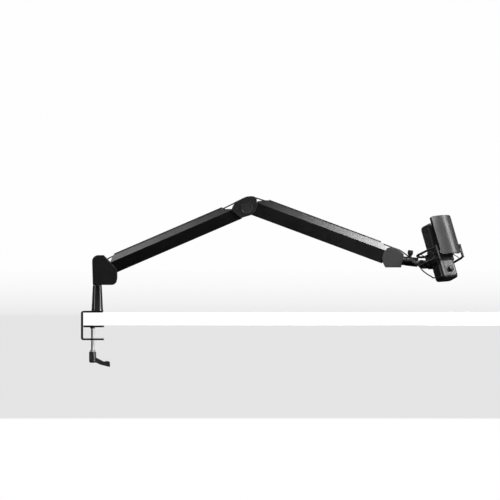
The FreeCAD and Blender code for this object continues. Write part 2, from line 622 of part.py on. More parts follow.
def wire_through(points, radii):
    """Straight runs joined by tangent arcs, as one wire."""
    edges = []
    last = points[0]
    for before, corner, after, radius in zip(points, points[1:], points[2:], radii):
        back = (before - corner).normalize()
        ahead = (after - corner).normalize()
        half = back.getAngle(ahead) / 2
        reach = radius / math.tan(half)
        middle = (back + ahead).normalize() * (radius / math.sin(half) - radius)
        first = corner + back * reach
        final = corner + ahead * reach
        edges.append(Part.LineSegment(last, first).toShape())
        edges.append(Part.Arc(first, corner + middle, final).toShape())
        last = final
    edges.append(Part.LineSegment(last, points[-1]).toShape())
    return Part.Wire(edges)


def tube_along(wire, radius):
    """A round bar swept along a wire."""
    start = wire.Edges[0].Vertexes[0].Point
    heading = wire.Edges[0].tangentAt(wire.Edges[0].FirstParameter)
    ring = Part.Wire([Part.makeCircle(radius, start, heading)])
    return wire.makePipeShell([ring], True, False)


def rod_side_at(along):
    """How far a rod's long arm is from the middle, at a place along the microphone's x."""
    share = (value("bow_x") - along) / (value("bow_x") - value("flare_x"))
    return value("bow_side") + share * (value("flare_side") - value("bow_side"))


def shock_mount():
    posts = []
    for side in (-1, 1):
        across = "rod_side" if side > 0 else "-rod_side"
        posts.append(cylinder(f"post{side}", "post_round", "z",
                              ("mount_level - post_half", "mount_level + post_half"),
                              ("rod_front", across)))
    pair = group("post_pair", *posts)
    rods = []
    plan = (("rod_front", "rod_side"), ("bow_x", "bow_side"), ("flare_x", "flare_side"),
            ("rod_back", "back_side"))
    bends = [value("bow_bend"), value("flare_bend"), value("back_bend")]
    for name, side in (("upper", 1), ("lower", -1)):
        level = value("mount_level") + side * value("rod_level")
        corners = [Vector(value(along), -value(across), level) for along, across in plan]
        corners += [Vector(value(along), value(across), level) for along, across in plan[::-1]]
        bent = doc.addObject("Part::Feature", name + "_bent_rod")
        wire = wire_through(corners, bends + bends[::-1])
        bent.Shape = tube_along(wire, value("rod_round"))
        rods.append(bent)
        node(name + "_rod", cut(name + "_rod_cut", bent, pair), MIC)
    node("front_posts", group("front_post_pair", *posts), MIC)

    block = prism("bridge_block", "XY_Plane", [
        ("rod_back - 5", "-bridge_half", 2), ("rod_back + 5.4", "-bridge_half", 3),
        ("rod_back + 5.4", "bridge_half", 3), ("rod_back - 5", "bridge_half", 2),
    ], ("mount_level - bridge_tall", "mount_level + bridge_tall"))
    arm = box("bridge_arm", ("knuckle_back", "rod_back"), ("-ear_half", "ear_half"),
              ("mount_level - ear_round", "mount_level + ear_round"))
    at_ear = ("knuckle_back", "mount_level")
    eye = cylinder("bridge_eye", "ear_round", "y", ("-ear_half", "ear_half"), at_ear)
    bore = cylinder("bridge_bore", "knob_free", "y", (-30, 30), at_ear)
    body = fuse("bridge", block, arm, eye)
    node("back_bridge", cut("bridge_cut", body, fuse("bridge_tools", bore, *rods)), MIC)

    cords = []
    for along in (-value("hook_x"), value("hook_x")):
        outside = rod_side_at(along) - value("rod_round") - 1.8
        for across in (-1, 1):
            for up in (-1, 1):
                start = Vector(along, across * outside, value("mount_level") + up * 12.6)
                stop = Vector(along, across * (value("hook_reach") + 1.4),
                              value("mount_level") + up * 3.2)
                cords.append(Part.makeCylinder(value("cord_round"), (stop - start).Length, start,
                                               stop - start))
    elastic = doc.addObject("Part::Feature", "elastic_cord_set")
    elastic.Shape = Part.makeCompound(cords)
    node("elastic_cords", elastic, MIC)


# ---- microphone ----

def rounded_block(name, half_x, half_y, corner, span):
    return prism(name, "XY_Plane", [
        (f"-({half_x})", f"-({half_y})", corner), (half_x, f"-({half_y})", corner),
        (half_x, half_y, corner), (f"-({half_x})", half_y, corner),
    ], span)


def microphone():
    outer = rounded_block("mic_outer", "mic_x", "mic_y", "mic_corner", ("-mic_half", "mic_half"))
    soften(outer, "end_bend", "z", value("mic_half"))
    soften(outer, "end_bend", "z", -value("mic_half"))
    hollow = rounded_block("mic_hollow", "mic_x - shell_wall", "mic_y - shell_wall",
                           "mic_corner - shell_wall",
                           ("-mic_half + shell_wall", "mic_half - shell_wall"))
    soften(hollow, "end_bend - shell_wall", "z", value("mic_half") - value("shell_wall"))
    soften(hollow, "end_bend - shell_wall", "z", value("shell_wall") - value("mic_half"))
    shell = cut("mic_shell", outer, hollow)
    wide = ("-mic_y - 1", "mic_y + 1")
    below = ("-mic_half - 1", "grille_low")
    rear = common("rear_half", shell, box("rear_zone", ("-mic_x - 1", "seam_x"), wide, below))
    port = box("port_gap", ("-mic_x - 5", 0), (-4.4, 4.4), ("port_z - 1.6", "port_z + 1.6"))
    node("rear_shell", cut("rear_cut", rear, port), MIC)
    front = common("front_half", shell, box("front_zone", ("seam_x", "mic_x + 1"), wide, below))
    hole = cylinder("dial_hole", "shaft_round + 0.6", "x", (0, 30), (0, "dial_z"))
    node("front_shell", cut("front_cut", front, hole), MIC)
    node("grille", common("grille_half", shell,
                          box("grille_zone", ("-mic_x - 1", "mic_x + 1"), wide,
                              ("grille_low", "mic_half + 1"))), MIC)

    capsule = cylinder("capsule_can", "capsule_round", "x", ("-capsule_half", "capsule_half"),
                       (0, "capsule_z"))
    node("capsule", capsule, MIC)
    plate = box("chassis_plate", (-14, -11), (-22, 22), (-70, 20))
    shelf = box("chassis_shelf", (-14, 8), (-20, 20), (17, 20))
    post = box("chassis_post", (-3, 3), (-5, 5), (19, "capsule_z - capsule_round + 3"))
    node("chassis", cut("chassis_cut", fuse("chassis_frame", plate, shelf, post), capsule), MIC)
    node("circuit_board", box("board", (-11, -9.4), (-19, 19), (-64, 10)), MIC)

    boot = turned("boot", [
        (0, "mic_x"), (4.6, "mic_x"), (4.6, "mic_x + 8"), (3.0, "mic_x + 14"), (0, "mic_x + 14"),
    ])
    boot.Placement = Placement(Vector(0, 0, value("port_z")), Rotation(Vector(0, 1, 0), -90))
    tab = box("plug_tab", ("-mic_x - 1", -14.2), (-4.1, 4.1), ("port_z - 1.3", "port_z + 1.3"))
    node("cable_plug", fuse("plug", boot, tab), MIC)

    node("dial_shaft", cylinder("shaft", "shaft_round", "x", (9, "dial_front - 2"), (0, "dial_z")),
         MIC)
    dial = turned("dial", [
        ("shaft_free", "dial_back"), ("dial_round", "dial_back"), ("dial_round", "dial_front - 1"),
        ("dial_round - 1", "dial_front"), (0, "dial_front"), (0, "dial_front - 1.9"),
        ("shaft_free", "dial_front - 1.9"),
    ])
    turn = Placement(Vector(0, 0, value("dial_z")), TURNS["x"])
    node("dial_knob", dial, MIC * turn)

    sleeve = rounded_block("sleeve", "cradle_x", "cradle_y", "mic_corner + 2.5",
                           ("mount_level - cradle_half", "mount_level + cradle_half"))
    hooks = []
    for along in (-1, 1):
        for across in (-1, 1):
            place = f"{along} * hook_x"
            span = ("cradle_y - 2", "hook_reach") if across > 0 else ("-hook_reach", "2 - cradle_y")
            hooks.append(box(f"hook{along}{across}", (place + " - 2.2", place + " + 2.2"), span,
                             ("mount_level - 2.6", "mount_level + 2.6")))
    core = rounded_block("sleeve_core", "mic_x", "mic_y", "mic_corner", (-40, 40))
    node("cradle_sleeve", cut("sleeve_cut", fuse("sleeve_hooks", sleeve, *hooks), core), MIC)


def pop_filter():
    middle = "pop_apex - pop_curve"
    span = ("pop_low - 5", "pop_high + 5")
    at_middle = (middle, 0)
    skin = cut(
        "pop_skin",
        cylinder("pop_outer", "pop_curve", "z", span, at_middle),
        cylinder("pop_inner", "pop_curve - pop_deep", "z", span, at_middle),
    )
    face = prism("pop_outline", "YZ_Plane", [
        ("-pop_half", "pop_low", "pop_corner"), ("pop_half", "pop_low", "pop_corner"),
        ("pop_half", "pop_high", "pop_corner"), ("-pop_half", "pop_high", "pop_corner"),
    ], (20, 60))
    inset = prism("pop_inset", "YZ_Plane", [
        ("pop_rim - pop_half", "pop_low + pop_rim", "pop_corner - pop_rim"),
        ("pop_half - pop_rim", "pop_low + pop_rim", "pop_corner - pop_rim"),
        ("pop_half - pop_rim", "pop_high - pop_rim", "pop_corner - pop_rim"),
        ("pop_rim - pop_half", "pop_high - pop_rim", "pop_corner - pop_rim"),
    ], (10, 60))
    behind = cylinder("pop_behind", "pop_curve - pop_thick", "z", span, at_middle)
    plate = cut("pop_plate", common("pop_slab", skin, face), common("pop_pocket", behind, inset))
    lugs = []
    for side in (-1, 1):
        near = "rod_side - post_round - 0.4"
        span = ("pop_half - 1.2", near) if side > 0 else (f"-({near})", "1.2 - pop_half")
        lugs.append(box(f"pop_lug{side}", (38.9, 40.9), span, ("mount_level - 4", "mount_level + 4")))
    node("pop_filter", fuse("pop_filter_body", plate, *lugs), MIC)


# ---- microphone lead, clipped along the arms from the shoulder to the plug ----

def in_plane(frame, along, rise):
    return frame.multVec(Vector(along, 0, rise))


def lead(name, points):
    """One stretch of the lead: straight runs with the largest arcs that they allow."""
    radii = []
    for before, corner, after in zip(points, points[1:], points[2:]):
        shorter = min((corner - before).Length, (after - corner).Length)
        half = (corner - before).getAngle(after - corner) / 2
        radii.append(0.45 * shorter / math.tan(half))
    wire = wire_through(points, radii)
    piece = doc.addObject("Part::Feature", name + "_tube")
    piece.Shape = tube_along(wire, value("lead_round"))
    expected = math.pi * value("lead_round") ** 2 * wire.Length
    print(name, "length", round(wire.Length, 1), "radii", [round(r, 1) for r in radii],
          "volume ratio", round(piece.Shape.Volume / expected, 4))
    node(name, piece)


def leads():
    low = value("low_top") - 2.2
    high = value("up_top") - 2.4
    lower_exit = in_plane(LOWER, 343, low)
    upper_exit = in_plane(UPPER, 362, high)
    hand_over = Vector(803, 14, 151)
    lead("cable_shoulder", [
        Vector(6.5, 0, value("yoke_shelf")), Vector(6.5, 0, 104), Vector(11, 0, 124),
        Vector(24, 0, 138.5), in_plane(LOWER, 26, low - 0.4), in_plane(LOWER, 52, low), lower_exit,
    ])
    lead("cable_elbow", [
        lower_exit, in_plane(LOWER, 352, low), Vector(383, 0, 298.8), Vector(405, 0, 300.8),
        in_plane(UPPER, 33, high - 2.2), in_plane(UPPER, 55, high), upper_exit,
    ])
    lead("cable_wrist", [
        upper_exit, in_plane(UPPER, 380, high), Vector(774, 3, 167), Vector(790, 9, 161.5),
        hand_over,
    ])
    lead("cable_tail", [
        hand_over, hand_over + (hand_over - Vector(790, 9, 161.5)), Vector(837, 13, 121),
        Vector(846, 4, 109), Vector(858, -12, 99.5), Vector(869, -33, 93),
        MIC.multVec(Vector(-value("mic_x") - 26, 0, value("port_z"))),
        MIC.multVec(Vector(-value("mic_x") - 14, 0, value("port_z"))),
    ])


clamp()
riser()
shoulder()
lower_arm()
elbow_covers()
upper_arm()
wrist()
head()
shock_mount()
microphone()
pop_filter()
leads()
doc.recompute()

for thing in doc.Objects:
    if "Invalid" in thing.State or "Error" in thing.State:
        raise RuntimeError(f"{thing.Label} failed: {thing.State}")
for name, piece in NODES.items():
    if piece.Shape.isNull() or not piece.Shape.isValid() or piece.Shape.Volume <= 0:
        raise RuntimeError(f"{name} has no valid shape")
    if len(name) >= 60:
        raise RuntimeError(f"{name} is too long a name")
if len(NODES) > 60:
    raise RuntimeError(f"{len(NODES)} sub-parts are more than 60")

os.makedirs("parts", exist_ok=True)
for name, piece in NODES.items():
    piece.Shape.exportStep(f"parts/{name}.step")
print(len(NODES), "sub-parts written")
for label, place in (("elbow", ELBOW), ("wrist", WRIST), ("ball", BALL), ("knuckle", KNUCKLE),
                     ("microphone", MIC.Base)):
    print(label, [round(number, 3) for number in place])
for label, heading in (("front", Vector(1, 0, 0)), ("across", Vector(0, 1, 0)),
                       ("along", Vector(0, 0, 1))):
    print(label, [round(number, 5) for number in MIC_TURN.multVec(heading)])
print("stem", [round(number, 5) for number in STEM_TURN.multVec(Vector(1, 0, 0))])
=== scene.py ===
import json
import math

import bmesh
import bpy
from mathutils import Matrix, Vector


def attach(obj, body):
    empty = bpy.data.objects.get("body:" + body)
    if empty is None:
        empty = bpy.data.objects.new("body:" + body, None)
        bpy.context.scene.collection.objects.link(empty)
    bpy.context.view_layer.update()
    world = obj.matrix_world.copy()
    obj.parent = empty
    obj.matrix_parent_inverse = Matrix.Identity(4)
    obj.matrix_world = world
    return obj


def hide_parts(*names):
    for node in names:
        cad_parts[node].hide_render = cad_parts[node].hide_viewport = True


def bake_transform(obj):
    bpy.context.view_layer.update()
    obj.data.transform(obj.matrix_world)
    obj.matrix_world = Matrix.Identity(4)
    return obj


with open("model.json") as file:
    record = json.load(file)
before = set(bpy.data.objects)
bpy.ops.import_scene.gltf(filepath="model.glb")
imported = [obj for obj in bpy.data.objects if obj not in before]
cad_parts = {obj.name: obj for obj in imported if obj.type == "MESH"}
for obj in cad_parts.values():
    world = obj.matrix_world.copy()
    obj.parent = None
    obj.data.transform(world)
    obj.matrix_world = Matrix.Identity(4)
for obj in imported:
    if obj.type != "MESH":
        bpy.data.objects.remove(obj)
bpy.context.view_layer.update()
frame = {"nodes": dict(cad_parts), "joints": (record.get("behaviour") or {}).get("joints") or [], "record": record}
nodes = frame["nodes"]
joints = {joint["name"]: joint for joint in frame["joints"]}


# ---- local frames, read from the joints ----

def axes(origin, x_axis, y_axis, z_axis):
    """A local frame as a matrix: its columns are the three axes and the origin."""
    matrix = Matrix.Identity(4)
    for column, vector in enumerate((x_axis, y_axis, z_axis, origin)):
        for row in range(3):
            matrix[row][column] = vector[row]
    return matrix


def side_view(joint, along):
    """A frame in the XZ plane at a joint, with x along a given direction and y away from the camera."""
    x_axis = Vector(along).normalized()
    y_axis = Vector((0, 1, 0))
    return axes(joints[joint]["pos_m"], x_axis, y_axis, x_axis.cross(y_axis))


def across(joint):
    """The direction at right angles to a lid's lift, along its arm."""
    lift = Vector(joints[joint]["axis"])
    return Vector((0, 1, 0)).cross(lift)


LOWER = side_view("shoulder_lift", across("lower_lid_lift"))
UPPER = side_view("elbow_fold", across("upper_lid_lift"))
BARREL = side_view("ball_swing", across("ball_swing"))
FRONT = Vector(joints["dial_turn"]["axis"])
UP_MIC = Vector(joints["mic_float"]["axis"])
ACROSS = UP_MIC.cross(FRONT)
DIAL_DROP = 0.0525
MIC = axes(Vector(joints["dial_turn"]["pos_m"]) + UP_MIC * DIAL_DROP, FRONT, ACROSS, UP_MIC)
DIAL = axes(joints["dial_turn"]["pos_m"], ACROSS, UP_MIC, FRONT)
TILT = axes(joints["mount_tilt"]["pos_m"], FRONT, UP_MIC, -ACROSS)


# ---- materials ----

def shader(name, colour, roughness, metallic=0.0, specular=0.5, coat=0.0, coat_roughness=0.1):
    """A new material with its constants on the shader's own sockets."""
    made = bpy.data.materials.new(name)
    made.use_nodes = True
    bsdf = made.node_tree.nodes["Principled BSDF"]
    bsdf.inputs["Base Color"].default_value = (*colour, 1)
    bsdf.inputs["Roughness"].default_value = roughness
    bsdf.inputs["Metallic"].default_value = metallic
    bsdf.inputs["Specular IOR Level"].default_value = specular
    bsdf.inputs["Coat Weight"].default_value = coat
    bsdf.inputs["Coat Roughness"].default_value = coat_roughness
    return made, made.node_tree, bsdf


def noise(tree, scale, detail=3.0, stretch=(1, 1, 1)):
    """Noise in the object's own coordinates; scale is in waves per metre."""
    place = tree.nodes.new("ShaderNodeTexCoord")
    mapping = tree.nodes.new("ShaderNodeMapping")
    mapping.inputs["Scale"].default_value = stretch
    texture = tree.nodes.new("ShaderNodeTexNoise")
    texture.inputs["Scale"].default_value = scale
    texture.inputs["Detail"].default_value = detail
    tree.links.new(place.outputs["Object"], mapping.inputs["Vector"])
    tree.links.new(mapping.outputs["Vector"], texture.inputs["Vector"])
    return texture.outputs["Fac"]


def ramp_between(tree, factor, low, high):
    """Maps a 0 to 1 value onto the span from low to high."""
    span = tree.nodes.new("ShaderNodeMapRange")
    span.inputs["From Min"].default_value = 0.3
    span.inputs["From Max"].default_value = 0.7
    span.inputs["To Min"].default_value = low
    span.inputs["To Max"].default_value = high
    tree.links.new(factor, span.inputs["Value"])
    return span.outputs["Result"]


def vary_colour(tree, bsdf, factor, first, second):
    """Mixes the base colour between two tones by a 0 to 1 value."""
    mix = tree.nodes.new("ShaderNodeMix")
    mix.data_type = "RGBA"
    mix.inputs["A"].default_value = (*first, 1)
    mix.inputs["B"].default_value = (*second, 1)
    tree.links.new(factor, mix.inputs["Factor"])
    tree.links.new(mix.outputs["Result"], bsdf.inputs["Base Color"])


def bump(tree, bsdf, height, distance, strength=0.5):
    """Fine relief from a 0 to 1 value; distance is its full height in metres."""
    node = tree.nodes.new("ShaderNodeBump")
    node.inputs["Strength"].default_value = strength
    node.inputs["Distance"].default_value = distance
    tree.links.new(height, node.inputs["Height"])
    tree.links.new(node.outputs["Normal"], bsdf.inputs["Normal"])


def moulded(name, colour, roughness=0.5, grain=1500, depth=0.00006, specular=0.45):
    """Moulded plastic: a fine spark-eroded grain and slight shifts of tone and gloss."""
    made, tree, bsdf = shader(name, colour, roughness, specular=specular)
    broad = noise(tree, 28, 4)
    fine = noise(tree, grain, 2)
    lighter = tuple(min(1, c * 1.35 + 0.002) for c in colour)
    vary_colour(tree, bsdf, broad, colour, lighter)
    tree.links.new(ramp_between(tree, broad, roughness - 0.05, roughness + 0.06),
                   bsdf.inputs["Roughness"])
    bump(tree, bsdf, fine, depth)
    return made


def painted(name, colour, roughness=0.35, specular=0.5, coat=0.0, orange_peel=450, depth=0.00003):
    """Sprayed paint: orange peel, faint clouding and a roughness that drifts."""
    made, tree, bsdf = shader(name, colour, roughness, specular=specular, coat=coat)
    cloud = noise(tree, 14, 5)
    peel = noise(tree, orange_peel, 3)
    lighter = tuple(min(1, c * 1.3 + 0.001) for c in colour)
    vary_colour(tree, bsdf, cloud, colour, lighter)
    tree.links.new(ramp_between(tree, cloud, roughness - 0.04, roughness + 0.05),
                   bsdf.inputs["Roughness"])
    bump(tree, bsdf, peel, depth, 0.35)
    return made


def metal(name, colour, roughness, stretch=(1, 1, 40), grain=220, metallic=1.0):
    """Turned or brushed metal: fine lines across one axis."""
    made, tree, bsdf = shader(name, colour, roughness, metallic=metallic)
    lines = noise(tree, grain, 4, stretch)
    darker = tuple(c * 0.72 for c in colour)
    vary_colour(tree, bsdf, lines, darker, colour)
    tree.links.new(ramp_between(tree, lines, roughness - 0.07, roughness + 0.1),
                   bsdf.inputs["Roughness"])
    bump(tree, bsdf, lines, 0.00003, 0.4)
    return made


def rubber(name, colour, roughness=0.7):
    """Dull rubber or cable jacket with a soft mottle."""
    made, tree, bsdf = shader(name, colour, roughness, specular=0.35)
    mottle = noise(tree, 90, 5)
    vary_colour(tree, bsdf, mottle, colour, tuple(c * 1.5 for c in colour))
    bump(tree, bsdf, noise(tree, 2500, 2), 0.00005, 0.5)
    return made


def braid(name, colour):
    """Braided elastic: crossed diagonal bands of thread."""
    made, tree, bsdf = shader(name, colour, 0.8, specular=0.2)
    bsdf.inputs["Sheen Weight"].default_value = 0.4
    place = tree.nodes.new("ShaderNodeTexCoord")
    bands = []
    for slope in (1, -1):
        mapping = tree.nodes.new("ShaderNodeMapping")
        mapping.inputs["Rotation"].default_value = (0, slope * 0.7, slope * 0.7)
        wave = tree.nodes.new("ShaderNodeTexWave")
        wave.inputs["Scale"].default_value = 420
        wave.inputs["Distortion"].default_value = 0.6
        tree.links.new(place.outputs["Object"], mapping.inputs["Vector"])
        tree.links.new(mapping.outputs["Vector"], wave.inputs["Vector"])
        bands.append(wave.outputs["Fac"])
    weave = tree.nodes.new("ShaderNodeMath")
    weave.operation = "MAXIMUM"
    tree.links.new(bands[0], weave.inputs[0])
    tree.links.new(bands[1], weave.inputs[1])
    vary_colour(tree, bsdf, weave.outputs["Value"], tuple(c * 0.4 for c in colour), colour)
    bump(tree, bsdf, weave.outputs["Value"], 0.0002, 0.6)
    return made


def board_mask(name):
    """Solder mask with faint tracks."""
    made, tree, bsdf = shader(name, (0.01, 0.12, 0.05), 0.35, coat=0.3)
    brick = tree.nodes.new("ShaderNodeTexBrick")
    brick.inputs["Scale"].default_value = 220
    brick.inputs["Color1"].default_value = (0.01, 0.12, 0.05, 1)
    brick.inputs["Color2"].default_value = (0.015, 0.16, 0.07, 1)
    brick.inputs["Mortar"].default_value = (0.3, 0.22, 0.08, 1)
    place = tree.nodes.new("ShaderNodeTexCoord")
    tree.links.new(place.outputs["Object"], brick.inputs["Vector"])
    tree.links.new(brick.outputs["Color"], bsdf.inputs["Base Color"])
    return made


FINISHES = {
    "black_steel": painted("black_steel", (0.006, 0.006, 0.006), 0.38, orange_peel=700),
    "black_rubber": rubber("black_rubber", (0.02, 0.02, 0.02)),
    "gloss_black": painted("gloss_black", (0.034, 0.034, 0.035), 0.17, coat=0.5),
    "bush_brass": metal("bush_brass", (0.20, 0.145, 0.07), 0.45),
    "screw_steel": metal("screw_steel", (0.62, 0.61, 0.64), 0.42, metallic=0.5),
    "spring_steel": metal("spring_steel", (0.3, 0.3, 0.32), 0.35),
    "lever_plastic": moulded("lever_plastic", (0.026, 0.026, 0.027), 0.4),
    "dark_plastic": moulded("dark_plastic", (0.016, 0.016, 0.016), 0.5),
    "cover_plastic": moulded("cover_plastic", (0.015, 0.015, 0.015), 0.48),
    # a lighter copy of the cover plastic: painted light for the wrist's covers, which the lamps at the right light
    # more
    "lit_cover_plastic": moulded("lit_cover_plastic", (0.036, 0.035, 0.036), 0.5),
    "cap_plastic": moulded("cap_plastic", (0.035, 0.035, 0.035), 0.3),
    "arm_paint": painted("arm_paint", (0.0035, 0.0035, 0.0036), 0.33),
    "lid_plastic": moulded("lid_plastic", (0.014, 0.014, 0.014), 0.4),
    "cast_alloy": metal("cast_alloy", (0.18, 0.18, 0.19), 0.45, stretch=(1, 1, 1), grain=600),
    "lead_jacket": rubber("lead_jacket", (0.008, 0.008, 0.008), 0.6),
    "head_black": painted("head_black", (0.006, 0.006, 0.006), 0.34, specular=0.3),
    "knob_rubber": moulded("knob_rubber", (0.02, 0.02, 0.02), 0.45),
    "rod_black": painted("rod_black", (0.012, 0.011, 0.011), 0.3, specular=0.3),
    "elastic_fabric": braid("elastic_fabric", (0.035, 0.035, 0.035)),
    "mic_body": painted("mic_body", (0.013, 0.0135, 0.013), 0.27, specular=1.0),
    "mic_grille": painted("mic_grille", (0.018, 0.019, 0.018), 0.38),
    "capsule_brass": metal("capsule_brass", (0.75, 0.55, 0.25), 0.25),
    "board_green": board_mask("board_green"),
    "plug_plastic": moulded("plug_plastic", (0.02, 0.02, 0.02), 0.5),
    "dial_metal": metal("dial_metal", (0.02, 0.02, 0.021), 0.35),
    "seam_black": moulded("seam_black", (0.004, 0.004, 0.004), 0.4),
    "dial_face": painted("dial_face", (0.030, 0.030, 0.031), 0.35),
    "pop_metal": painted("pop_metal", (0.018, 0.017, 0.017), 0.25, specular=0.4),
}


# the wrist's covers get a lighter copy of the cover plastic: painted light, standing in for the lamps at the right
# lighting them more than the other covers
LIT_COVERS = {"wrist_cover_near": "lit_cover_plastic", "wrist_cover_far": "lit_cover_plastic"}


def coat_cad_nodes():
    """Gives every CAD node the finish of its slot, or, for the wrist's covers, the lighter copy that carries
    painted light.
    """
    for part in frame["record"]["subparts"]:
        node = nodes[part["node"]]
        finish = LIT_COVERS.get(part["node"], part["material_slot"])
        node.data.materials.clear()
        node.data.materials.append(FINISHES[finish])


# ---- mesh helpers ----

def link(name, mesh, finish, body, replaced=()):
    """Adds a finished mesh as a piece, riding on a body unless that is None."""
    piece = bpy.data.objects.new(name, mesh)
    bpy.context.scene.collection.objects.link(piece)
    mesh.materials.append(FINISHES[finish])
    if body:
        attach(piece, body)
    if replaced:
        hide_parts(*replaced)
    return piece


def new_mesh(name, points, faces, matrix=None, smooth=True):
    """A mesh from points and faces, moved by a matrix if one is given."""
    mesh = bpy.data.meshes.new(name)
    mesh.from_pydata([tuple(point) for point in points], [], faces)
    if matrix is not None:
        mesh.transform(matrix)
    mesh.validate()
    if smooth:
        mesh.shade_smooth()
    return mesh


def line_points(control, resolution=10):
    """Points along the smooth NURBS line through a route's control points."""
    curve = bpy.data.curves.new("route", "CURVE")
    curve.dimensions = "3D"
    curve.resolution_u = resolution
    spline = curve.splines.new("NURBS")
    spline.points.add(len(control) - 1)
    for point, place in zip(spline.points, control):
        point.co = (*place, 1)
    spline.order_u = 3
    spline.use_endpoint_u = True
    holder = bpy.data.objects.new("route", curve)
    mesh = bpy.data.meshes.new_from_object(holder)
    points = [vertex.co.copy() for vertex in mesh.vertices]
    bpy.data.meshes.remove(mesh)
    bpy.data.objects.remove(holder)
    bpy.data.curves.remove(curve)
    return points


def tube_mesh(name, points, radius, sides=20, ends=True):
    """A round tube along points, its ring carried along without twist."""
    count = len(points)
    tangents = []
    for i in range(count):
        before = points[max(i - 1, 0)]
        after = points[min(i + 1, count - 1)]
        tangents.append((after - before).normalized())
    side = tangents[0].orthogonal().normalized()
    places = []
    for point, tangent in zip(points, tangents):
        side = (side - tangent * side.dot(tangent)).normalized()
        other = tangent.cross(side)
        for k in range(sides):
            turn = 2 * math.pi * k / sides
            places.append(point + (side * math.cos(turn) + other * math.sin(turn)) * radius)
    faces = []
    for i in range(count - 1):
        for k in range(sides):
            a = i * sides + k
            b = i * sides + (k + 1) % sides
            faces.append((a, b, b + sides, a + sides))
    if ends:
        faces.append(tuple(reversed(range(sides))))
        faces.append(tuple((count - 1) * sides + k for k in range(sides)))
    return new_mesh(name, places, faces)


# ---- the microphone's lead ----

LEAD_RADIUS = 0.00165


def at(matrix, along, rise):
    """A point in the middle plane of a local frame."""
    return matrix @ Vector((along, 0, rise))


def point_at(x, y, z):
    """A point in the shared frame."""
    return Vector((x, y, z))


def lead_route():
    """The lead's given route, in four stretches from the shoulder to the plug."""
    low = 0.0192
    high = 0.0369
    lower_exit = at(LOWER, 0.343, low)
    upper_exit = at(UPPER, 0.362, high)
    hand_over = point_at(0.803, 0.014, 0.151)
    plug_end = MIC @ Vector((-0.0346, 0, -0.055))
    return [
        [point_at(0.0065, 0, 0.086), point_at(0.0065, 0, 0.104), point_at(0.011, 0, 0.124),
         point_at(0.024, 0, 0.1385), at(LOWER, 0.026, low - 0.0004), at(LOWER, 0.052, low),
         lower_exit],
        [lower_exit, at(LOWER, 0.352, low), point_at(0.383, 0, 0.2988), point_at(0.405, 0, 0.3008),
         at(UPPER, 0.033, high - 0.0022), at(UPPER, 0.055, high), upper_exit],
        [upper_exit, at(UPPER, 0.380, high), point_at(0.774, 0.003, 0.167),
         point_at(0.790, 0.009, 0.1615), hand_over],
        [hand_over, hand_over * 2 - point_at(0.790, 0.009, 0.1615), point_at(0.837, 0.013, 0.121),
         point_at(0.846, 0.004, 0.109), point_at(0.858, -0.012, 0.0995), point_at(0.869, -0.033, 0.093),
         MIC @ Vector((-0.0466, 0, -0.055)), plug_end],
    ]


def leads():
    """The lead's four stretches, each a tube in the shared frame that rides on no body."""
    shoulder, elbow, wrist, tail = [line_points(stretch, 14) for stretch in lead_route()]
    crossings = (
        ("lead_at_shoulder", shoulder, "cable_shoulder", "turret", "lower_arm",
         shoulder[0], at(LOWER, 0.012, 0.018)),
        ("lead_at_elbow", elbow, "cable_elbow", "lower_arm", "upper_arm",
         at(LOWER, 0.372, 0.02), at(UPPER, 0.030, 0.034)),
        ("lead_at_wrist", wrist, "cable_wrist", "upper_arm", "wrist",
         at(UPPER, 0.376, 0.036), point_at(0.788, 0.008, 0.162)),
    )
    for name, points, node, first, second, start, end in crossings:
        piece = link(name, tube_mesh(name, points, LEAD_RADIUS), "lead_jacket", None, (node,))
        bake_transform(piece)
    count = len(tail)
    stops = [0, int(count * 0.36), int(count * 0.58), int(count * 0.84), count - 1]
    for i in range(4):
        points = tail[stops[i]:stops[i + 1] + 1]
        name = f"lead_tail_{i + 1}"
        replaced = ("cable_tail",) if i == 1 else ()
        piece = link(name, tube_mesh(name, points, LEAD_RADIUS, ends=i in (0, 3)),
                     "lead_jacket", None, replaced)
        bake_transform(piece)


# ---- details that the CAD leaves plain ----

def joined(name, meshes):
    """One mesh from several."""
    whole = bmesh.new()
    for mesh in meshes:
        whole.from_mesh(mesh)
        bpy.data.meshes.remove(mesh)
    mesh = bpy.data.meshes.new(name)
    whole.to_mesh(mesh)
    whole.free()
    mesh.shade_smooth()
    return mesh


def turned_mesh(name, profile, matrix, sides=40):
    """A closed body of revolution about the local z; the profile is (radius, height) pairs."""
    points = []
    for radius, height in profile:
        for k in range(sides):
            turn = 2 * math.pi * k / sides
            points.append(Vector((radius * math.cos(turn), radius * math.sin(turn), height)))
    faces = []
    for ring in range(len(profile) - 1):
        for k in range(sides):
            a = ring * sides + k
            b = ring * sides + (k + 1) % sides
            faces.append((a, b, b + sides, a + sides))
    faces.append(tuple(reversed(range(sides))))
    last = (len(profile) - 1) * sides
    faces.append(tuple(last + k for k in range(sides)))
    return new_mesh(name, points, faces, matrix)


def rounded_outline(half_x, half_y, corner, steps=8):
    """Points round a rounded rectangle in the local xy plane, with their outward directions."""
    outline = []
    for sign_x, sign_y, first in ((1, 1, 0), (-1, 1, 1), (-1, -1, 2), (1, -1, 3)):
        middle = Vector((sign_x * (half_x - corner), sign_y * (half_y - corner), 0))
        for step in range(steps + 1):
            turn = math.pi / 2 * (first + step / steps)
            outward = Vector((math.cos(turn), math.sin(turn), 0))
            outline.append((middle + outward * corner, outward))
    return outline


def even_stations(outline, pitch):
    """Places at an even spacing round an outline, each with its outward direction."""
    stations = []
    carried = 0.0
    for (first, outward), (second, next_outward) in zip(outline, outline[1:] + outline[:1]):
        length = (second - first).length
        while carried < length:
            share = carried / length
            facing = outward.lerp(next_outward, share).normalized()
            stations.append((first.lerp(second, share), facing))
            carried += pitch
        carried -= length
    return stations


MIC_HALF_X = 0.0206
MIC_HALF_Y = 0.0268
MIC_CORNER = 0.011


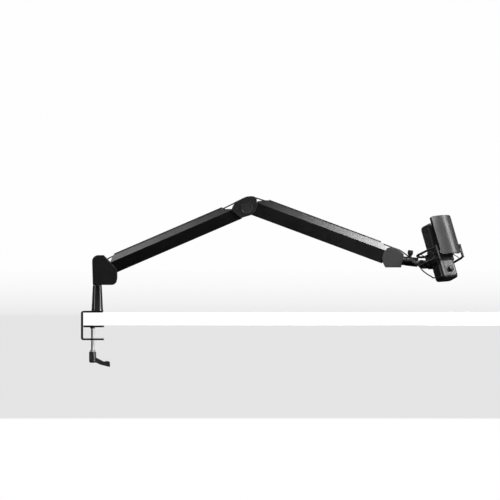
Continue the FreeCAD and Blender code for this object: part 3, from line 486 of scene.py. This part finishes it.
def grille_ribs():
    """Upright ribs round the head of the microphone, over its mesh."""
    ribs = []
    outline = rounded_outline(MIC_HALF_X, MIC_HALF_Y, MIC_CORNER)
    for index, (place, outward) in enumerate(even_stations(outline, 0.0036)):
        points = [MIC @ (place + outward * 0.0001 + Vector((0, 0, rise)))
                  for rise in (0.0070, 0.0075, 0.0670, 0.0675)]
        ribs.append(tube_mesh(f"rib_{index}", points, 0.00075, sides=8))
    link("grille_ribs", joined("grille_ribs", ribs), "mic_grille", "microphone")
    bands = []
    for index, (rise, radius) in enumerate(((0.0055, 0.0006), (0.0690, 0.0005))):
        ring = rounded_outline(MIC_HALF_X, MIC_HALF_Y, MIC_CORNER)
        points = [MIC @ (place + Vector((0, 0, rise))) for place, outward in ring]
        bands.append(tube_mesh(f"band_{index}", points + points[:1], radius, sides=8, ends=False))
    link("grille_bands", joined("grille_bands", bands), "mic_body", "microphone")


def mic_seam():
    """The raised lip where the front shell meets the rear one, and the line above the foot."""
    seam = -0.0080
    lines = []
    for side in (-1, 1):
        edge = side * (MIC_HALF_Y + 0.0001)
        points = [MIC @ Vector((seam, edge, rise)) for rise in (-0.067, -0.066, -0.032, -0.030)]
        lines.append(tube_mesh(f"seam_{side}", points, 0.0005, sides=8))
    ring = rounded_outline(MIC_HALF_X, MIC_HALF_Y, MIC_CORNER)
    points = [MIC @ (place + Vector((0, 0, -0.0672))) for place, outward in ring]
    lines.append(tube_mesh("foot_line", points + points[:1], 0.0005, sides=8, ends=False))
    link("mic_seams", joined("mic_seams", lines), "seam_black", "microphone")


def dial_face():
    """A knurled rim and a smooth cap on the dial, and a ring round it on the front shell."""
    ridges = []
    radius = 0.0070
    count = 36
    rises = (0.0220, 0.0224, 0.0258, 0.0262)
    for k in range(count):
        turn = 2 * math.pi * k / count
        side = Vector((math.cos(turn), math.sin(turn), 0)) * radius
        points = [DIAL @ (side + Vector((0, 0, rise))) for rise in rises]
        ridges.append(tube_mesh(f"ridge_{k}", points, 0.00022, sides=6))
    link("dial_knurl", joined("dial_knurl", ridges), "dial_metal", "dial")
    face = turned_mesh("dial_face", [(0.0050, 0.0273), (0.0060, 0.0273), (0.0060, 0.0276),
                                     (0.0057, 0.0279), (0.0001, 0.0279)], DIAL)
    link("dial_face", face, "dial_face", "dial")
    collar = turned_mesh("dial_ring", [(0.0086, 0.0204), (0.0086, 0.0210), (0.0083, 0.0213),
                                       (0.0078, 0.0213), (0.0076, 0.0208)], DIAL)
    link("dial_ring", collar, "dial_face", "microphone")


def elastic_cords():
    """Eight braided cords from the rods down to the cradle's hooks, each with a slight bow."""
    level = -0.011
    bow_x = 0.0200
    bow_side = 0.0530
    flare_x = -0.0290
    flare_side = 0.0570
    rod_radius = 0.0029
    inset = 0.0006
    for along in (-0.014, 0.014):
        share = (bow_x - along) / (bow_x - flare_x)
        rod = bow_side + share * (flare_side - bow_side) - rod_radius - inset
        for side in (-1, 1):
            for up in (-1, 1):
                route = [
                    Vector((along, side * rod, level + up * 0.0134)),
                    Vector((along * 1.06, side * (rod - 0.0040), level + up * 0.0105)),
                    Vector((along * 1.04, side * 0.0385, level + up * 0.0050)),
                    Vector((along, side * 0.0342, level + up * 0.0026)),
                ]
                ends = "fb"[along > 0] + "nf"[side > 0] + "lu"[up > 0]
                name = f"cord_{ends}"
                points = line_points([MIC @ place for place in route], 8)
                first = along < 0 and side < 0 and up < 0
                replaced = ("elastic_cords",) if first else ()
                mesh = tube_mesh(name, points, 0.0011, sides=12)
                piece = link(name, mesh, "elastic_fabric", None, replaced)
                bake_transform(piece)


SCREW_X = -0.0121


def screw_thread():
    """The rolled thread of the clamp screw."""
    pitch = 0.00125
    top = -0.0425
    radius = 0.00392
    turns = 42
    steps = 20
    points = []
    for index in range(turns * steps):
        turn = 2 * math.pi * index / steps
        points.append(Vector((SCREW_X + radius * math.cos(turn), radius * math.sin(turn),
                              top - pitch * index / steps)))
    mesh = tube_mesh("screw_thread", points, 0.00042, sides=6)
    link("screw_thread", mesh, "screw_steel", "screw")


def lever_coil():
    """The lever's return spring: a coil from the screw's head up to the lever, riding on no body."""
    foot = -0.1256
    top = -0.1184
    radius = 0.00445
    turns = 4
    steps = 24
    points = []
    for index in range(turns * steps + 1):
        turn = 2 * math.pi * index / steps
        rise = foot + (top - foot) * index / (turns * steps)
        points.append(Vector((SCREW_X + radius * math.cos(turn), radius * math.sin(turn), rise)))
    mesh = tube_mesh("lever_coil", points, 0.0004, sides=8)
    coil = link("lever_coil", mesh, "spring_steel", None, ("lever_spring",))
    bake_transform(coil)


def knob_grips():
    """Rounded ribs round both rubber knobs."""
    lock = axes(joints["ball_lock_turn"]["pos_m"], BARREL.col[0].xyz, BARREL.col[1].xyz,
                BARREL.col[2].xyz)
    for name, frame_of, low, high, narrow, wide, body in (
        ("lock_knob_ribs", lock, 0.0190, 0.0272, 0.0063, 0.0061, "ball_lock"),
        ("tilt_knob_ribs", TILT, 0.0146, 0.0200, 0.0074, 0.0077, "tilt_lock"),
    ):
        ribs = []
        for k in range(12):
            turn = 2 * math.pi * k / 12
            side = Vector((math.cos(turn), math.sin(turn), 0))
            points = [frame_of @ (side * radius + Vector((0, 0, rise)))
                      for radius, rise in ((narrow - 0.0004, low), (narrow, low + 0.0006),
                                           (wide, high - 0.0006), (wide - 0.0004, high))]
            ribs.append(tube_mesh(f"{name}_{k}", points, 0.0009, sides=8))
        link(name, joined(name, ribs), "knob_rubber", body)


def cover_screws():
    """Small hex-socket screws that hold the covers on the far side."""
    level = 0.0260
    for joint, body, places in (
        ("shoulder_lift", "turret", ((-0.024, -0.030), (0.018, -0.034), (-0.020, 0.020))),
        ("elbow_fold", "lower_arm", ((-0.026, -0.004), (0.017, -0.004), (0.006, 0.023))),
        ("wrist_tilt", "wrist", ((-0.012, -0.018), (0.017, -0.018), (0.002, 0.017))),
    ):
        middle = Vector(joints[joint]["pos_m"])
        out = level + (0.001 if body == "turret" else 0)
        heads = []
        for index, (along, rise) in enumerate(places):
            place = axes(middle + Vector((along, out, rise)), (1, 0, 0), (0, 0, -1), (0, 1, 0))
            heads.append(turned_mesh(f"head_{index}", [
                (0.0001, 0.0004), (0.0011, 0.0004), (0.0013, 0.0011), (0.0021, 0.0011),
                (0.0026, 0.0007), (0.0026, -0.0006), (0.0001, -0.0006),
            ], place, 24))
        link(f"{body}_screws", joined(f"{body}_screws", heads), "screw_steel", body)


def barrel_boss():
    """The pivot screw on the near side of the ball head's barrel."""
    place = BARREL @ Matrix.Translation((-0.0085, -0.0116, 0.0004))
    turned_out = place @ Matrix.Rotation(math.pi / 2, 4, "X")
    boss = turned_mesh("barrel_boss", [
        (0.0001, 0.0016), (0.0010, 0.0016), (0.0011, 0.0021), (0.0022, 0.0021), (0.0026, 0.0016),
        (0.0026, -0.0020), (0.0001, -0.0020),
    ], turned_out)
    link("barrel_boss", boss, "screw_steel", "wrist")


def soften_edges():
    """A narrow bevel on the hard edges of the CAD nodes, so that they catch the light."""
    sharpest = math.radians(35)
    for name, width in (
        ("clamp_bracket", 0.0006), ("pad_plate", 0.0005), ("riser_post", 0.0005),
        ("lower_tube", 0.0004), ("upper_tube", 0.0004), ("wrist_block", 0.0006),
        ("ball_head_barrel", 0.0004), ("knuckle_fork", 0.0005), ("back_bridge", 0.0005),
        ("cradle_sleeve", 0.0005), ("turret_yoke", 0.0005), ("pop_filter", 0.0005),
        ("front_posts", 0.0005),
    ):
        bevel = nodes[name].modifiers.new("edge", "BEVEL")
        bevel.width = width
        bevel.segments = 2
        bevel.limit_method = "ANGLE"
        bevel.angle_limit = sharpest
        bevel.harden_normals = False


# ---- camera, light and ground ----

VIEW_CENTRE = Vector((0.397, 0, 0.1628))
VIEW_WIDTH = 1.300
VIEW_DISTANCE = 16.0
SENSOR = 36.0


def camera():
    """A very long lens, square to the side of the arm."""
    data = bpy.data.cameras.new("camera")
    data.sensor_width = SENSOR
    data.lens = SENSOR * VIEW_DISTANCE / VIEW_WIDTH
    data.clip_start = 0.5
    data.clip_end = 200
    holder = bpy.data.objects.new("camera", data)
    holder.location = VIEW_CENTRE - Vector((0, VIEW_DISTANCE, 0))
    holder.rotation_euler = (math.pi / 2, 0, 0)
    bpy.context.scene.collection.objects.link(holder)
    bpy.context.scene.camera = holder


def area_light(name, place, target, size, power, height):
    """A rectangular softbox aimed at a target."""
    data = bpy.data.lights.new(name, "AREA")
    data.shape = "RECTANGLE"
    data.size = size
    data.size_y = height
    data.energy = power
    holder = bpy.data.objects.new(name, data)
    holder.location = place
    holder.rotation_euler = (Vector(target) - Vector(place)).to_track_quat("-Z", "Y").to_euler()
    bpy.context.scene.collection.objects.link(holder)
    return holder


BACKDROP = (
    # height of the line of sight, brightness: a white strip, level grey, then easing to white
    (-0.02750, 1.00), (-0.02720, 0.78), (-0.01080, 0.78), (-0.01010, 0.84), (-0.00890, 0.875),
    (-0.00730, 0.915), (-0.00570, 0.95), (-0.00300, 0.99),
)


def sky():
    """The studio backdrop: white above, grey from desk height down, dim for everything but sight."""
    world = bpy.data.worlds.new("studio")
    bpy.context.scene.world = world
    world.use_nodes = True
    tree = world.node_tree
    background = tree.nodes["Background"]
    place = tree.nodes.new("ShaderNodeTexCoord")
    split = tree.nodes.new("ShaderNodeSeparateXYZ")
    rise = tree.nodes.new("ShaderNodeMapRange")
    low = BACKDROP[0][0]
    high = BACKDROP[-1][0]
    rise.inputs["From Min"].default_value = low
    rise.inputs["From Max"].default_value = high
    ramp = tree.nodes.new("ShaderNodeValToRGB")
    stops = ramp.color_ramp.elements
    for index, (height, tone) in enumerate(BACKDROP):
        place_on_ramp = (height - low) / (high - low)
        last = index == len(BACKDROP) - 1
        stop = stops[0] if index == 0 else stops[-1] if last else stops.new(place_on_ramp)
        stop.position = place_on_ramp
        stop.color = (tone, tone, tone, 1)
    lamp = tree.nodes.new("ShaderNodeLightPath")
    strength = tree.nodes.new("ShaderNodeMapRange")
    strength.inputs["To Min"].default_value = 0.02
    strength.inputs["To Max"].default_value = 1.0
    tree.links.new(place.outputs["Generated"], split.inputs["Vector"])
    tree.links.new(split.outputs["Z"], rise.inputs["Value"])
    tree.links.new(rise.outputs["Result"], ramp.inputs["Fac"])
    tree.links.new(ramp.outputs["Color"], background.inputs["Color"])
    tree.links.new(lamp.outputs["Is Camera Ray"], strength.inputs["Value"])
    tree.links.new(strength.outputs["Result"], background.inputs["Strength"])


def block_mesh(name, low, high):
    """An axis-aligned block between two corners."""
    points = [(x, y, z) for x in (low[0], high[0]) for y in (low[1], high[1])
              for z in (low[2], high[2])]
    faces = [(0, 1, 3, 2), (4, 6, 7, 5), (0, 4, 5, 1), (2, 3, 7, 6), (0, 2, 6, 4), (1, 5, 7, 3)]
    return new_mesh(name, points, faces, smooth=False)


def ground():
    """A pale studio floor well below the object, and a white desk slab behind the clamp.

    Both shine a little themselves and are left out of reflections, so that they stay pale
    without lighting the object from below.
    """
    floor_paint, tree, bsdf = shader("floor_paint", (0.75, 0.75, 0.75), 0.8)
    vary_colour(tree, bsdf, noise(tree, 2, 3), (0.74, 0.74, 0.745), (0.77, 0.77, 0.775))
    bsdf.inputs["Emission Color"].default_value = (1, 1, 1, 1)
    bsdf.inputs["Emission Strength"].default_value = 0.6
    desk_paint, tree, bsdf = shader("desk_paint", (0.85, 0.85, 0.85), 0.45)
    vary_colour(tree, bsdf, noise(tree, 3, 3), (0.84, 0.84, 0.84), (0.87, 0.87, 0.87))
    bsdf.inputs["Emission Color"].default_value = (1, 1, 1, 1)
    bsdf.inputs["Emission Strength"].default_value = 0.9
    for name, low, high, paint in (
        ("floor", (-2.2, -2.6, -0.76), (3.0, 2.6, -0.75), floor_paint),
        ("desk", (-0.0365, 0.045, -0.0333), (1.6, 0.070, 0.0), desk_paint),
    ):
        mesh = block_mesh(name, low, high)
        mesh.materials.append(paint)
        slab = bpy.data.objects.new(name, mesh)
        bpy.context.scene.collection.objects.link(slab)
        slab.visible_glossy = False
        slab.visible_diffuse = False


def lights():
    """Softboxes above each arm and before the head, strips at both sides, and a fill behind."""
    for name, place, target, size, power, height, spread in (
        ("top_right", (1.27, -0.42, 0.95), (0.88, 0, 0.15), 0.42, 6, 0.55, 85),
        ("top_left", (-0.62, -0.30, 1.25), (0.15, 0, 0.20), 0.5, 2.6, 0.7, 100),
        ("right_box", (2.10, -0.60, 0.95), (0.90, -0.08, 0.16), 1.0, 0.52, 0.8, 90),
        ("front_box", (1.28, -1.33, 0.92), (0.90, -0.07, 0.17), 1.1, 1.0, 0.5, 60),
        ("clamp_front", (0.75, -0.55, -0.09), (-0.012, 0, -0.072), 0.12, 0.04, 0.12, 8),
        ("right_strip", (2.12, 0.12, 0.88), (0.90, -0.08, 0.18), 0.15, 1.1, 0.6, 90),
        ("riser_strip", (1.60, -0.47, 0.03), (0, 0, 0.03), 0.12, 0.22, 0.6, 34),
        ("left_strip", (-1.50, -0.90, 0.20), (0, 0, 0.05), 0.14, 1.2, 1.1, 100),
        ("back_fill", (0.5, 2.5, 1.2), (0.5, 0, 0.1), 1.6, 9, 1.0, 180),
    ):
        light = area_light(name, place, target, size, power, height)
        light.data.spread = math.radians(spread)


coat_cad_nodes()
soften_edges()
leads()
grille_ribs()
mic_seam()
dial_face()
elastic_cords()
screw_thread()
lever_coil()
knob_grips()
cover_screws()
barrel_boss()
camera()
lights()
sky()
ground()
bpy.context.scene.view_settings.view_transform = "Standard"
